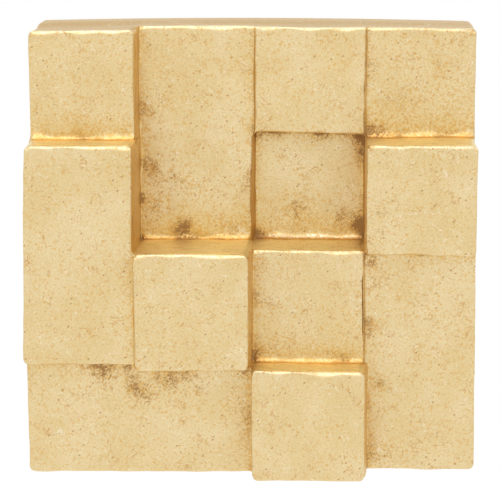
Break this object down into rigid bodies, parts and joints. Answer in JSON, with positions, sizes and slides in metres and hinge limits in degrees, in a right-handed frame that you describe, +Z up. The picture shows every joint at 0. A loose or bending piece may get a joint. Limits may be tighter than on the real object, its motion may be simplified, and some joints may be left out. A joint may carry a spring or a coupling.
{
  "type": "block relief wall panel",
  "caption": "Square wall panel of gilded square and double blocks that stand out to different depths, hung on a bevelled wall rail",
  "frame": {"origin": "middle of the wall rail's back face, on the wall", "axes": "+Z up, -Y out of the wall towards the room, X along the wall; +X is the right of the panel seen from the room"},
  "size_m": [0.304, 0.1195, 0.304],
  "materials": {
    "gold_leaf": "gold leaf over gesso, satin, crackled, with brown patina in the corners",
    "plywood": "bare birch plywood",
    "pine": "bare planed pine",
    "beech": "bare beech dowel",
    "screw_steel": "zinc plated steel",
    "rubber": "matt rubber"
  },
  "bodies": {
    "rail": {"wall_rail": "pine"},
    "panel": {"block_top_left": "gold_leaf", "block_upper_tall": "gold_leaf", "block_top_inner": "gold_leaf", "block_top_right": "gold_leaf", "block_left_tall": "gold_leaf", "block_recessed": "gold_leaf", "block_right_upper": "gold_leaf", "block_proud": "gold_leaf", "block_inner_right": "gold_leaf", "block_bottom_long": "gold_leaf", "block_bottom_inner": "gold_leaf", "block_right_tall": "gold_leaf", "gesso_coves": "gold_leaf", "backboard": "plywood", "block_dowels": "beech", "block_screws": "screw_steel", "panel_cleat": "pine", "cleat_screws": "screw_steel", "spacer_batten": "pine", "batten_screws": "screw_steel", "wall_bumpers": "rubber"}
  },
  "joints": [
    {"name": "lift_off", "type": "slide", "parent": "rail", "child": "panel", "axis": [0, 0, 1], "range_m": [0, 0.018]}
  ]
}
